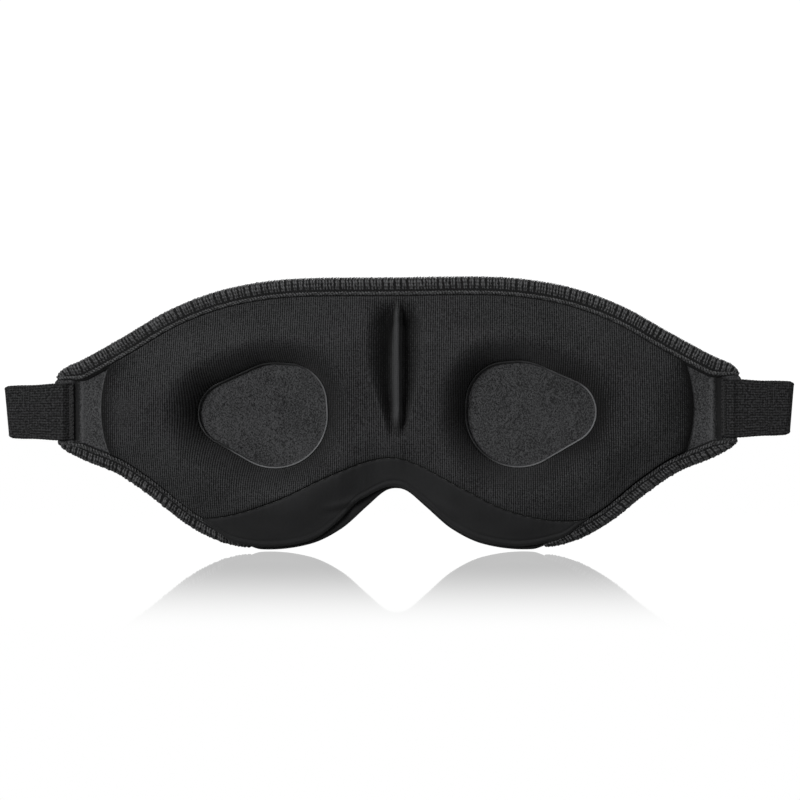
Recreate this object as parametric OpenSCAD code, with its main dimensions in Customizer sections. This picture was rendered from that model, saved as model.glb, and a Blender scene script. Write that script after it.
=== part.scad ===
// Contoured sleep eye mask: a moulded shell with two eye domes, a memory-foam pad with two eye
// cups, a nose flap, bound edges, and an elastic strap in two halves that fold back behind the
// shell and close with hook and loop.
// The wearer is on the -Y side, +Z is up, and the origin is on the nose bridge at eye level.

/* [Body] */
// Half of the body's width, without the strap
half_w = 118.5; // [110:0.5:125]
// Radius of the body's gentle bend towards the face
wrap_r = 1200; // [800:50:3000]
// Distance from the nose bridge back to the plane of the bound edge
edge_y = 7; // [5:0.5:9]
// Height of the two eye domes on the outside
dome_h = 8; // [7:0.5:10]

/* [Layers] */
// Thickness of the outer fabric
cover_t = 0.8; // [0.5:0.1:1]
// Thickness of the shell's foam in the middle
core_t = 3; // [2:0.5:3.5]
// Thickness of the shell's foam at the edge
core_edge_t = 1.4; // [1:0.1:2]
// Thickness of the shell's inner lining
lining_t = 0.6; // [0.4:0.1:0.8]
// Thickness of the knit fabric over the pad
knit_t = 0.7; // [0.5:0.1:0.9]
// Gap left between two layers that are bonded together
bond = 0.05; // [0.02:0.01:0.1]

/* [Pad] */
// Height of the pad's crest above the edge plane
crest_h = 9; // [8:0.5:12]
// Height of the pad where it meets the binding
rim_h = 2.5; // [2:0.5:4]
// Width over which the pad rises from its rim to its crest
rise_w = 18; // [14:1:22]
// Half of the pad's width
pad_half_w = 99; // [95:0.5:102]
// How far the pad's round ends bulge outwards
pad_bulge = 2.6; // [1:0.1:4]
// Width of the sloping wall round each eye window
bowl_w = 10; // [8:1:14]
// Depth of the step from the knit fabric down to the window
window_lip = 1.8; // [1.5:0.1:2.5]

/* [Binding] */
// Width of the binding's lip on the wearer's side
bind_w = 6; // [5:0.5:7]
// Width of the binding's lip on the lower edges
side_bind_w = 4.8; // [4:0.2:6]
// Thickness of the binding
bind_t = 0.9; // [0.6:0.1:1.2]

/* [Strap] */
// Width of the elastic
strap_w = 19; // [18:0.5:20]
// Thickness of the elastic
strap_t = 1.2; // [1:0.1:1.4]
// Height of the strap's centre above eye level
strap_z = 1.3; // [0:0.1:3]
// Distance from the middle to the fold
fold_x = 132.1; // [131:0.1:136]
// Radius of the fold, to the middle of the elastic
fold_r = 1.8; // [1.6:0.1:2.2]
// Angle that the strap turns through at the fold
fold_deg = 165; // [164:0.5:166]
// Length of the tail's first straight stretch
tail_rise = 70; // [69:1:74]
// Length of the tail's last straight stretch, which carries the patch
tail_end = 47; // [44:1:47]
// Length of the hook and the loop patch
patch_l = 38; // [30:1:40]
// Width of the hook and the loop patch
patch_w = 16; // [14:1:17]
// Thickness of the hook and the loop patch
patch_t = 1.2; // [0.8:0.1:1.3]

/* [Hidden] */
$fn = 48;

// Half outlines of the body, as [x, z] from the nose to the strap, joined by a smooth curve.
top_line = [
    [0, 46.5], [30, 46.5], [46, 45.3], [62, 42], [78, 35.8], [95, 26], [108, 18.8],
    [114, 16], [117.5, 13], [118.5, 10.9],
];
bottom_line = [
    [0, -25.8], [4, -26.9], [10, -32], [19, -39.8], [30, -45.1], [46, -46.9], [60, -43.9],
    [72, -37.8], [86, -26.8], [96, -20], [108, -14.9], [114, -11.6], [118.5, -8.3],
];
// The seam between the pad and the nose flap.
seam_line = [
    [0, -15], [9, -17], [18, -21], [27, -25.3], [36, -29.8], [45, -33], [54, -35.2],
    [63, -36], [70, -35],
];
// How much higher the seam runs on the left than on the right, at most.
seam_skew = 2.2;
// The eye window is the hull of three discs: [x, z, radius].
window = [[42.4, -0.5, 18.5], [38.2, 3.6, 14.1], [57.9, 0.3, 11.4]];
// The dome falls away between these distances outside the window.
dome_inner = -2;
dome_outer = 20;
// The nose bridge is lower than the crest, and a ridge stands in a groove above it.
bridge_drop = 0.34;
bridge_w = 14;
groove_d = 4;
groove_w = 6;
ridge_h = 4;
ridge_w = 1.8;
ridge_bottom = -6;
ridge_top = 38;
// The nose flap ends at flap_end, and the lower bindings widen from bind_end to seam_end.
flap_end = 64;
bind_end = 50;
seam_end = 68;
hem = 1.0;
// Room left behind the pad's foam and under the binding's back lip, where layers curve.
pad_room = 0.4;
back_room = 0.3;
strap_end_x = 111.5;
bend_x = [117, 119];
strap_color = [0.13, 0.13, 0.13];
thread_color = [0.06, 0.06, 0.06];
strap_y = edge_y - half_w * half_w / 2 / wrap_r - bond - strap_t / 2;
fold_y = strap_y + fold_r;
// Gap between the strap's pieces where they turn on each other.
joint_gap = 0.2;
tail_bend_r = 50;
thread = 0.35;

function smooth(t) = let (u = min(1, max(0, t))) u * u * (3 - 2 * u);
function step(a, b, t) = smooth((t - a) / (b - a));
function mix(a, b, t) = a + (b - a) * t;

// The slope of a half outline at its point i; it is level on the middle line.
function slope_at(line, i) =
    let (n = len(line) - 1, a = line[max(0, i - 1)], b = line[min(n, i + 1)])
    i == 0 ? 0 : (b[1] - a[1]) / (b[0] - a[0]);
function segment(line, x) =
    min(len(line) - 2, len([for (p = line) if (p[0] <= x) 1]) - 1);
// [height, slope] of a half outline at x, on the cubic through its points.
function curve(line, x) =
    let (i = segment(line, abs(x)), a = line[i], b = line[i + 1], w = b[0] - a[0],
        t = (abs(x) - a[0]) / w, m = slope_at(line, i) * w, n = slope_at(line, i + 1) * w)
    [
        (2 * t ^ 3 - 3 * t ^ 2 + 1) * a[1] + (t ^ 3 - 2 * t ^ 2 + t) * m
        + (3 * t ^ 2 - 2 * t ^ 3) * b[1] + (t ^ 3 - t ^ 2) * n,
        ((6 * t ^ 2 - 6 * t) * (a[1] - b[1]) + (3 * t ^ 2 - 4 * t + 1) * m
        + (3 * t ^ 2 - 2 * t) * n) / w,
    ];
// An outline moved inwards by d, measured square to it.
function inset(line, x, d) =
    let (c = curve(line, x), side = line[0][1] > 0 ? -1 : 1)
    c[0] + side * d * sqrt(1 + c[1] ^ 2);
function top_z(x, d = 0) = inset(top_line, x, d);
function bottom_z(x, d = 0) = inset(bottom_line, x, d);
function seam_z(x) =
    curve(seam_line, min(abs(x), 70))[0]
    - sign(x) * seam_skew * sin(180 * min(abs(x), seam_end) / seam_end);
function lower_width(x) = mix(hem, side_bind_w, step(bind_end, seam_end, abs(x)));
function pad_bottom_z(x) = max(seam_z(x), bottom_z(x, side_bind_w + 0.3));

// Distance outside the disc that slides from a to b while its radius changes.
function from_capsule(p, a, b) =
    min([for (t = [0:0.125:1])
        norm(p - [mix(a[0], b[0], t), mix(a[1], b[1], t)]) - mix(a[2], b[2], t)]);
function from_window(x, z) =
    let (p = [abs(x), z])
    min(from_capsule(p, window[0], window[2]), from_capsule(p, window[1], window[2]),
        from_capsule(p, window[0], window[1]));

function wrap_y(x) = edge_y - x * x / 2 / wrap_r;
// The shell's inner face, which is the lining's face on the wearer's side.
function shell_y(x, z) =
    wrap_y(x) + dome_h * (1 - step(dome_inner, dome_outer, from_window(x, z)));
function core_thick(x, z) =
    mix(core_edge_t, core_t, step(4, 14, min(top_z(x) - z, z - bottom_z(x))));
// Height of the padded face above the edge plane, before the eye cups are sunk into it.
function crest(x, z) =
    let (edge = min(top_z(x, bind_w) - z, z - bottom_z(x), pad_half_w + 5 - abs(x)),
        bridge = 1 - bridge_drop * exp(-(x / bridge_w) ^ 2),
        length_fade = step(ridge_bottom - 12, ridge_bottom + 8, z)
            * (1 - step(ridge_top - 8, ridge_top + 4, z)),
        groove = groove_d * exp(-(x / groove_w) ^ 2) - ridge_h * exp(-(x / ridge_w) ^ 2))
    mix(rim_h, crest_h, step(0, rise_w, edge)) * bridge - groove * length_fade;
// The wall round a window: steep at the window, and rounded over into the crest.
function wall(t) = 1 - (1 - min(1, max(0, t))) ^ 2;
function face_y(x, z) =
    mix(wrap_y(x) + dome_h - window_lip, wrap_y(x) - crest(x, z),
        wall(from_window(x, z) / bowl_w));

function columns(half, n) = [for (i = [-n:n]) half * i / n];

// A closed solid between two grids of points with the same rows and columns.
module between(front, back) {
    rows = len(front);
    cols = len(front[0]);
    count = rows * cols;
    function id(side, r, c) = side * count + r * cols + c;
    function quad(a, b, c, d) = [[a, b, c], [a, c, d]];
    polyhedron(
        points = concat([for (r = front) each r], [for (r = back) each r]),
        faces = concat(
            [for (r = [0:rows - 2], c = [0:cols - 2])
                each quad(id(0, r, c), id(0, r + 1, c), id(0, r + 1, c + 1), id(0, r, c + 1))],
            [for (r = [0:rows - 2], c = [0:cols - 2])
                each quad(id(1, r, c), id(1, r, c + 1), id(1, r + 1, c + 1), id(1, r + 1, c))],
            [for (c = [0:cols - 2])
                each quad(id(1, 0, c), id(0, 0, c), id(0, 0, c + 1), id(1, 0, c + 1))],
            [for (c = [0:cols - 2], e = [rows - 1])
                each quad(id(1, e, c), id(1, e, c + 1), id(0, e, c + 1), id(0, e, c))],
            [for (r = [0:rows - 2])
                each quad(id(1, r, 0), id(1, r + 1, 0), id(0, r + 1, 0), id(0, r, 0))],
            [for (r = [0:rows - 2], e = [cols - 1])
                each quad(id(1, r, e), id(0, r, e), id(0, r + 1, e), id(1, r + 1, e))]
        )
    );
}

// A closed solid through a row of rings of points with the same count.
module through(rings) {
    n = len(rings);
    m = len(rings[0]);
    polyhedron(
        points = [for (r = rings) each r],
        faces = concat(
            [[for (j = [m - 1:-1:0]) j]],
            [[for (j = [0:m - 1]) (n - 1) * m + j]],
            [for (i = [0:n - 2], j = [0:m - 1]) let (k = (j + 1) % m)
                each [[i * m + j, i * m + k, (i + 1) * m + k],
                    [i * m + j, (i + 1) * m + k, (i + 1) * m + j]]]
        )
    );
}

// The shell's grid, moved outwards by near(x, z).
shell_x = columns(half_w, 25);
shell_rows = 12;
function shell_grid(near) =
    [for (j = [0:shell_rows]) [for (x = shell_x)
        let (low = abs(x) < bind_end ? hem : bind_t + 0.1,
            z = mix(bottom_z(x, low), top_z(x, bind_t + 0.1), j / shell_rows))
        [x, shell_y(x, z) + near(x, z), z]]];

module shell_lining() {
    color("dimgray")
        between(shell_grid(function (x, z) 0), shell_grid(function (x, z) lining_t));
}

module shell_core() {
    core_y = lining_t + bond;
    color("darkslategray")
        between(shell_grid(function (x, z) core_y),
            shell_grid(function (x, z) core_y + core_thick(x, z)));
}

module front_cover() {
    cover_y = lining_t + 2 * bond;
    color("black")
        between(shell_grid(function (x, z) cover_y + core_thick(x, z)),
            shell_grid(function (x, z) cover_y + core_thick(x, z) + cover_t));
}

// The pad's grid: its ends bulge, its top follows the binding and its bottom the seam.
pad_x = columns(1, 28);
pad_rows = 15;
function pad_grid(depth) =
    [for (j = [0:pad_rows]) [for (s = pad_x)
        let (v = j / pad_rows, flat_x = s * pad_half_w,
            x = s * (pad_half_w + pad_bulge * (1 - (2 * v - 1) ^ 2)),
            z = mix(pad_bottom_z(flat_x), top_z(flat_x, bind_w + 0.3), v))
        [x, depth(x, z), z]]];

// The window's outline: the hull's edge point in each direction, on the disc furthest out.
function window_edge(grow) =
    [for (a = [0:7.5:359])
        let (n = [cos(a), sin(a)],
            reach = [for (c = window) c[0] * n[0] + c[1] * n[1] + c[2]],
            c = window[search(max(reach), reach)[0]])
        [c[0], c[1]] + (c[2] + grow) * n];

module window_cutters() {
    for (side = [0, 1])
        mirror([side, 0, 0])
            translate([0, 40, 0])
                rotate([90, 0, 0])
                    linear_extrude(80) polygon(window_edge(0));
}

module pad_foam() {
    color("gray")
        difference() {
            between(pad_grid(function (x, z) face_y(x, z) + knit_t + bond),
                pad_grid(function (x, z) shell_y(x, z) - pad_room));
            window_cutters();
        }
}

module pad_cover() {
    color([0.17, 0.17, 0.17])
        difference() {
            between(pad_grid(function (x, z) face_y(x, z)),
                pad_grid(function (x, z) face_y(x, z) + knit_t));
            window_cutters();
        }
}

flap_rows = 4;
function flap_grid(depth) =
    [for (j = [0:flap_rows]) [for (x = columns(flap_end, 22))
        let (z = mix(bottom_z(x, lower_width(x) + 0.3), seam_z(x) - 0.25, j / flap_rows))
        [x, depth(x, z), z]]];

module nose_flap() {
    color([0.12, 0.12, 0.12])
        between(flap_grid(function (x, z) face_y(x, z)),
            flap_grid(function (x, z) face_y(x, z) + knit_t));
}

module nose_flap_foam() {
    color("gray")
        between(flap_grid(function (x, z) face_y(x, z) + knit_t + bond),
            flap_grid(function (x, z) shell_y(x, z) - bond));
}

// The binding is a channel round the shell's edge: a point on the outline, the lip's width,
// and the side that the body is on, which is -1 under the top edge and 1 over the lower one.
function binding_ring(x, line, width, side) =
    let (c = curve(line, x), n = [-c[1] * sign(x), 1] * side / sqrt(1 + c[1] ^ 2),
        front = -bond,
        back = lining_t + core_edge_t + cover_t + 3 * bond + back_room,
        back_lip = max(bind_t + 0.2, 0.75 * width))
    [for (q = [[0, front - bind_t], [width, front - bind_t], [width, front], [bind_t, front],
            [bind_t, back], [back_lip, back], [back_lip, back + bind_t], [0, back + bind_t]])
        let (px = x + n[0] * q[0])
        [px, wrap_y(px) + q[1], c[0] + n[1] * q[0]]];
function top_lip(x) =
    min(bind_w, (top_z(x) - strap_z - strap_w / 2) / sqrt(1 + curve(top_line, x)[1] ^ 2));
function lower_lip(x) =
    min(lower_width(x),
        (strap_z - strap_w / 2 - bottom_z(x)) / sqrt(1 + curve(bottom_line, x)[1] ^ 2));
// The binding ends where the strap leaves it too little room.
bind_tip = half_w - 2.5;

module binding_top() {
    color([0.1, 0.1, 0.1])
        through([for (x = columns(bind_tip, 33)) binding_ring(x, top_line, top_lip(x), -1)]);
}

module lower_binding(side) {
    color([0.1, 0.1, 0.1])
        through([for (i = [0:18])
            let (x = side * mix(bind_end, bind_tip - 1, i / 18))
            binding_ring(x, bottom_line, lower_lip(x), 1)]);
}

module binding_left() lower_binding(-1);
module binding_right() lower_binding(1);

// One stitch lies from p to q, flat against what it is sewn to.
module stitch(p, q, wide = 0.7) {
    d = q - p;
    translate((p + q) / 2)
        rotate([0, -atan2(d[2], norm([d[0], d[1]])), atan2(d[1], d[0])])
            cube([norm(d), thread, wide], center = true);
}

// A row of stitches along the points of path(i), for i from a to b, each joined to the next.
module stitch_row(path, a, b, share = 0.75) {
    color(thread_color)
        for (i = [a:b - 1])
            stitch(path(i), mix(path(i), path(i + 1), share));
}

stitch_pitch = 3.4;
stitch_lift = bind_t + bond + thread / 2 + 0.12;

module top_stitches() {
    reach = floor(106 / stitch_pitch);
    stitch_row(function (i) let (x = i * stitch_pitch)
        [x, wrap_y(x) - stitch_lift, top_z(x, bind_w - 1.2)], -reach, reach);
}

module edge_stitches(side) {
    stitch_row(function (i) let (x = side * (70 + i * 3))
        [x, wrap_y(x) - stitch_lift, bottom_z(x, side_bind_w - 1.2)], 0, 12);
}

module left_edge_stitches() edge_stitches(-1);

module right_edge_stitches() edge_stitches(1);

module flap_stitches() {
    pitch = 3.4;
    reach = 18;
    stitch_row(function (i) let (x = i * pitch, z = seam_z(x) - 1.4)
        [x, face_y(x, z) - thread / 2 - 0.3, z], -reach, reach);
}

// The strap lies on the lining at the tip of the body. Everything here is its left half.
module flat_strap(from_x, to_x) {
    color(strap_color)
        translate([-to_x, strap_y - strap_t / 2, strap_z - strap_w / 2])
            cube([to_x - from_x, strap_t, strap_w]);
}

module strap_anchor() flat_strap(strap_end_x, bend_x[0]);

module strap_bend() flat_strap(bend_x[0] + 0.05, bend_x[1] - 0.05);

module strap_root() flat_strap(bend_x[1], fold_x - joint_gap);

// Draws an outline seen from above, with the fold's axis at its origin, over a band of heights.
module over_strap(wide) {
    translate([-fold_x, fold_y, strap_z - wide / 2])
        linear_extrude(wide)
            children();
}

module strap_fold() {
    color(strap_color)
        translate([-fold_x, fold_y, strap_z - strap_w / 2])
            rotate([0, 0, 270 - fold_deg])
                rotate_extrude(angle = fold_deg)
                    translate([fold_r - strap_t / 2, 0])
                        square([strap_t, strap_w]);
}

// The tail's middle line, seen from above: a straight rise, a gentle bend and a level end.
rise_deg = 180 - fold_deg;
rise_dir = [cos(rise_deg), sin(rise_deg)];
rise_side = [-rise_dir[1], rise_dir[0]];
rise_from = fold_r * [-sin(fold_deg), -cos(fold_deg)];
bend_from = rise_from + tail_rise * rise_dir;
bend_centre = bend_from - tail_bend_r * rise_side;
bend_steps = 5;
level_y = bend_centre[1] + tail_bend_r;
tail_tip_x = bend_centre[0] + tail_end;
function tail_line(off) = concat(
    [rise_from + joint_gap * rise_dir + off * rise_side],
    [for (k = [0:bend_steps])
        let (a = 90 + rise_deg * (1 - k / bend_steps))
        bend_centre + (tail_bend_r + off) * [cos(a), sin(a)]],
    [[tail_tip_x, level_y + off]]
);
function reversed(list) = [for (i = [len(list) - 1:-1:0]) list[i]];

module strap_tail() {
    color(strap_color)
        over_strap(strap_w)
            polygon(concat(tail_line(-strap_t / 2), reversed(tail_line(strap_t / 2))));
}

// The patch lies on one face of the tail's level end: side is 1 for the face away from the body.
patch_inset = 3;
patch_gap = 0.05;
patch_mid_x = tail_tip_x - patch_inset - patch_l / 2;
patch_mid_y = strap_t / 2 + patch_gap + patch_t / 2;

module patch(side) {
    over_strap(patch_w)
        translate([patch_mid_x, level_y + side * patch_mid_y])
            square([patch_l, patch_t], center = true);
}

// Stitches round the patch, just outside its edge and flat on the tail's other face.
module patch_stitches(side) {
    pitch = 2.4;
    long = floor((patch_l - 2) / pitch);
    short = floor((patch_w - 2) / pitch);
    y = fold_y + level_y - side * (strap_t / 2 + patch_gap + thread / 2);
    color(thread_color)
        translate([patch_mid_x - fold_x, y, strap_z]) {
            for (i = [0:long - 1], z = [-1, 1])
                translate([(i + 0.5 - long / 2) * pitch, 0, z * (patch_w / 2 - 1)])
                    cube([0.75 * pitch, thread, 0.5], center = true);
            for (i = [0:short - 1], x = [-1, 1])
                translate([x * (patch_l / 2 - 1), 0, (i + 0.5 - short / 2) * pitch])
                    cube([0.5, thread, 0.75 * pitch], center = true);
        }
}

// Two columns of stitches sew the strap's end to the lining.
module anchor_stitches() {
    pitch = 2.2;
    count = floor((strap_w - 1) / pitch);
    color(thread_color)
        for (i = [0:count - 1], x = [strap_end_x + 1.1, strap_end_x + 3.4])
            translate([-x, strap_y - strap_t / 2 - patch_gap - thread / 2,
                    strap_z + (i + 0.5 - count / 2) * pitch])
                cube([0.5, thread, 0.75 * pitch], center = true);
}

module left_strap_anchor() strap_anchor();
module left_anchor_stitches() anchor_stitches();
module left_strap_bend() strap_bend();
module left_strap_root() strap_root();
module left_strap_fold() strap_fold();
module left_strap_tail() strap_tail();
module hook_patch() color([0.1, 0.1, 0.1]) patch(1);
module hook_patch_stitches() patch_stitches(1);

module right_half() mirror([1, 0, 0]) children();

module right_strap_anchor() right_half() strap_anchor();
module right_anchor_stitches() right_half() anchor_stitches();
module right_strap_bend() right_half() strap_bend();
module right_strap_root() right_half() strap_root();
module right_strap_fold() right_half() strap_fold();
module right_strap_tail() right_half() strap_tail();
module loop_patch() right_half() color([0.15, 0.15, 0.15]) patch(-1);
module loop_patch_stitches() right_half() patch_stitches(-1);

front_cover();
shell_core();
shell_lining();
pad_foam();
pad_cover();
nose_flap();
nose_flap_foam();
binding_top();
binding_left();
binding_right();
top_stitches();
left_edge_stitches();
right_edge_stitches();
flap_stitches();
left_strap_anchor();
left_anchor_stitches();
left_strap_bend();
left_strap_root();
left_strap_fold();
left_strap_tail();
hook_patch();
hook_patch_stitches();
right_strap_anchor();
right_anchor_stitches();
right_strap_bend();
right_strap_root();
right_strap_fold();
right_strap_tail();
loop_patch();
loop_patch_stitches();
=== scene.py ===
"""Contoured sleep eye mask, seen from the wearer's side, with its strap folded back behind it.

Shapes are worked out in millimetres in the CAD frame (X to the wearer's right, Y away from the
face, Z up) and turned into metres when a mesh is made.
"""

import math

import bmesh
import bpy
import numpy as np

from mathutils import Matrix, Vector


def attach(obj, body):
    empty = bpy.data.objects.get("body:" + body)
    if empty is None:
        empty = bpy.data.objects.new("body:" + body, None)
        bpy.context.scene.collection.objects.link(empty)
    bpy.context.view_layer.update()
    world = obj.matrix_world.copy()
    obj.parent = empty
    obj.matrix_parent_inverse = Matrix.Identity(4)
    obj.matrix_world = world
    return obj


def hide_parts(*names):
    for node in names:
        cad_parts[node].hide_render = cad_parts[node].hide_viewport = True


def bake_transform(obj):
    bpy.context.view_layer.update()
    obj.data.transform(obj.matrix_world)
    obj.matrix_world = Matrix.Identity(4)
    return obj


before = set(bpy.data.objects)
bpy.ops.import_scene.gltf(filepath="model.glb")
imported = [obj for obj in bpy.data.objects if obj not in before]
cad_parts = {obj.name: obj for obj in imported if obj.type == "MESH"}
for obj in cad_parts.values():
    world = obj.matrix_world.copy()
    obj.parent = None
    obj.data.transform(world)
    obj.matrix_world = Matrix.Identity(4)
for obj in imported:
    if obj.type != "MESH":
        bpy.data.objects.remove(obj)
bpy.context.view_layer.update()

MM = 0.001
rng = np.random.default_rng(7)

# ---- the CAD's driving sizes
HALF_W = 118.5  # half the body's width
WRAP_R = 1200  # its wrap round the face
EDGE_Y = 7  # its edge plane at the middle
DOME_H = 8  # the front domes
CREST_H, RIM_H, RISE_W = 9, 2.5, 18  # the pad: its height, at its rim, and how far it rises
PAD_HALF_W, PAD_BULGE = 99, 2.6
BOWL_W, WINDOW_LIP = 10, 1.8  # the cups' walls, and the pad's edge round a window
SHELL_T, SHELL_EDGE_T = 4.5, 3.0
BIND_W, SIDE_BIND_W, BIND_T = 6, 4.8, 0.9
BIND_END, SEAM_END = 50, 68  # where the lower bindings and the pad's seam end
STRAP_W, STRAP_T, STRAP_Z = 19, 1.2, 1.3
STRAP_Y = EDGE_Y - HALF_W**2 / 2 / WRAP_R - 0.65
FOLD_X, FOLD_R = 132.1, 1.8
FOLD_Y = STRAP_Y + FOLD_R
FOLD_TURN = math.radians(165)
TAIL_RISE, TAIL_BEND_R, TAIL_END = 70, 50, 47  # a tail's slope, bend and level end
SIDES = ((-1, "left"), (1, "right"))
PUCKER_TURN = 2 * math.pi / 3.4  # waves along the seams, one each 3.4 mm

TOP_LINE = [
    (0, 46.5), (30, 46.5), (46, 45.3), (62, 42), (78, 35.8), (95, 26), (108, 18.8),
    (114, 16), (117.5, 13), (118.5, 10.9),
]
BOTTOM_LINE = [
    (0, -25.8), (4, -26.9), (10, -32), (19, -39.8), (30, -45.1), (46, -46.9), (60, -43.9),
    (72, -37.8), (86, -26.8), (96, -20), (108, -14.9), (114, -11.6), (118.5, -8.3),
]
SEAM_LINE = [
    (0, -15), (9, -17), (18, -21), (27, -25.3), (36, -29.8), (45, -33), (54, -35.2),
    (63, -36), (70, -35),
]
SEAM_SKEW = 2.2
WINDOW_DISCS = [(42.4, -0.5, 18.5), (38.2, 3.6, 14.1), (57.9, 0.3, 11.4)]


# ---- small maths
def smooth(t):
    u = np.clip(t, 0, 1)
    return u * u * (3 - 2 * u)


def step(a, b, t):
    return smooth((t - a) / (b - a))


def mix(a, b, t):
    return a + (b - a) * t


def bell(t, width):
    return np.exp(-((t / width) ** 2))


def quarter_round(t):
    """Rises from 0 to 1 like the edge of a rolled hem."""
    u = 1 - np.clip(t, 0, 1)
    return np.sqrt(1 - u * u)


def least(k, *values):
    """The least of the values, with its corners rounded over about k."""
    return -k * np.log(sum(np.exp(-np.clip(v, -40, 400) / k) for v in values))


def ripple(x, z, size, seed=0):
    """Soft random waves between about -1 and 1, about `size` long."""
    waves = np.random.default_rng(seed + 100)
    total = 0
    for _ in range(9):
        turn = waves.uniform(0, 2 * math.pi)
        length = size * waves.uniform(0.7, 1.6)
        phase = waves.uniform(0, 2 * math.pi)
        along = x * math.cos(turn) + z * math.sin(turn)
        total = total + np.sin(2 * math.pi * along / length + phase)
    return total / 4.5


# ---- outlines and surfaces
def curve(line, x):
    """Height and slope of a half outline at x, on the cubic through its points."""
    p = np.array(line, float)
    ax = np.abs(np.asarray(x, float))
    slope = np.zeros(len(p))
    slope[1:-1] = (p[2:, 1] - p[:-2, 1]) / (p[2:, 0] - p[:-2, 0])
    slope[-1] = (p[-1, 1] - p[-2, 1]) / (p[-1, 0] - p[-2, 0])
    i = np.clip(np.searchsorted(p[:, 0], ax, side="right") - 1, 0, len(p) - 2)
    w = p[i + 1, 0] - p[i, 0]
    t = (ax - p[i, 0]) / w
    m, n = slope[i] * w, slope[i + 1] * w
    a, b = p[i, 1], p[i + 1, 1]
    height = (
        (2 * t**3 - 3 * t**2 + 1) * a + (t**3 - 2 * t**2 + t) * m
        + (3 * t**2 - 2 * t**3) * b + (t**3 - t**2) * n
    )
    rise = (
        (6 * t**2 - 6 * t) * (a - b) + (3 * t**2 - 4 * t + 1) * m + (3 * t**2 - 2 * t) * n
    ) / w
    return height, rise


def into_body(line):
    """The sign of Z that points into the body from an outline."""
    return -1 if line[0][1] > 0 else 1


def inset(line, x, d):
    height, rise = curve(line, x)
    return height + into_body(line) * d * np.sqrt(1 + rise**2)


def inside_of(line, x, z):
    """Distance of (x, z) inside an outline, measured square to it."""
    height, rise = curve(line, x)
    return into_body(line) * (z - height) / np.sqrt(1 + rise**2)


def seam_z(x):
    skew = SEAM_SKEW * np.sin(np.pi * np.minimum(np.abs(x), SEAM_END) / SEAM_END)
    return curve(SEAM_LINE, np.minimum(np.abs(x), 70))[0] - np.sign(x) * skew


def pad_bottom_z(x):
    return np.maximum(seam_z(x), inset(BOTTOM_LINE, x, SIDE_BIND_W + 0.3))


def flap_edge_inset(x):
    ax = np.abs(x)
    left = 2.3 * bell(x + 15, 9) + 0.5 * step(4, 14, -x)
    right = 0.5 * step(4, 14, x) + 0.9 * step(40, 54, x)
    return 0.6 + left + right + 2.6 * step(56, 66, ax)


def full_turn(count):
    return np.linspace(0, 2 * math.pi, count + 1)[:-1]


WINDOW_TURNS = full_turn(360)


def window_reach(turns):
    """For each direction, the disc that reaches furthest, and how far it reaches."""
    n = np.stack([np.cos(turns), np.sin(turns)], -1)
    discs = np.array(WINDOW_DISCS)
    reach = n @ discs[:, :2].T + discs[:, 2]
    return n, discs[np.argmax(reach, -1)], reach.max(-1)


def from_window(x, z):
    """Distance outside the eye window, negative inside it."""
    n, _, reach = window_reach(WINDOW_TURNS)
    p = np.stack([np.abs(x).ravel(), np.asarray(z, float).ravel()], -1)
    out = np.empty(len(p))
    for i in range(0, len(p), 20000):
        out[i : i + 20000] = (p[i : i + 20000] @ n.T - reach).max(-1)
    return out.reshape(np.shape(x))


def wrap_y(x):
    return EDGE_Y - x * x / 2 / WRAP_R


def shell_y(x, z, window=None):
    window = from_window(x, z) if window is None else window
    return wrap_y(x) + DOME_H * (1 - step(-2, 20, window))


RIDGE_LOW, RIDGE_HIGH, RIDGE_X = -7.5, 39, 1.35
VALLEY_DEPTH, RIDGE_RISE = 7.6, 8.8
EYE_X, EYE_Z = 45, 1


def fold_shares(x, z):
    """The share of a point in the valleys beside the nose bridge's ridge, and on the ridge."""
    x = x - RIDGE_X
    u = np.clip((z - RIDGE_LOW) / (RIDGE_HIGH - RIDGE_LOW), 0, 1)
    spindle = np.sin(np.pi * u**0.8) ** 0.6
    half = 0.5 + 1.75 * spindle
    broad = step(0.0, 0.6, u)
    width = np.where(x < 0, mix(4.0, 10.5, broad), mix(3.4, 8.8, broad))
    length = step(RIDGE_LOW - 3, RIDGE_LOW + 12, z) * (1 - step(RIDGE_HIGH - 9, RIDGE_HIGH + 1, z))
    t = np.clip((width - np.abs(x)) / (width - 2.0), 0, 1)
    valley = (0.55 * t + 0.45 * smooth(t)) * length
    ridge = np.exp(-np.abs(x / half) ** 2.4) * step(0.0, 0.16, u) * (1 - step(0.86, 1.0, u))
    return valley, ridge


def nose_ridge(x, z):
    """How far the face sinks beside the nose bridge's ridge; the left valley is the wider."""
    valley, ridge = fold_shares(x, z)
    return VALLEY_DEPTH * valley - RIDGE_RISE * ridge


def painted_shade(x, z, window, side):
    """Painted shade on the knit: darker in the valleys, on each cup's right and at the pad's ends.
    Below 0 it is a painted highlight, lighter, on the ridge and above the cups."""
    valley, ridge = fold_shares(x, z)
    shade = np.where(x < RIDGE_X, 1.45, 1.35) * valley * (1 - ridge) - 1.3 * ridge
    across, up = np.abs(x) - EYE_X, z - EYE_Z
    rightward = np.sign(x) * across / np.hypot(across, up + 1e-6)
    near = np.exp(-np.maximum(window, 0) / 5.0)
    shade += near * np.clip(rightward, 0, 1) * np.where(x > 0, 1.2, 0.8)
    shade -= 0.35 * np.exp(-np.maximum(window, 0) / 6.0) * np.clip(up / 16, 0, 1)
    return shade + 1.5 * np.exp(-np.maximum(side, 0) / 3.0)


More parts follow.
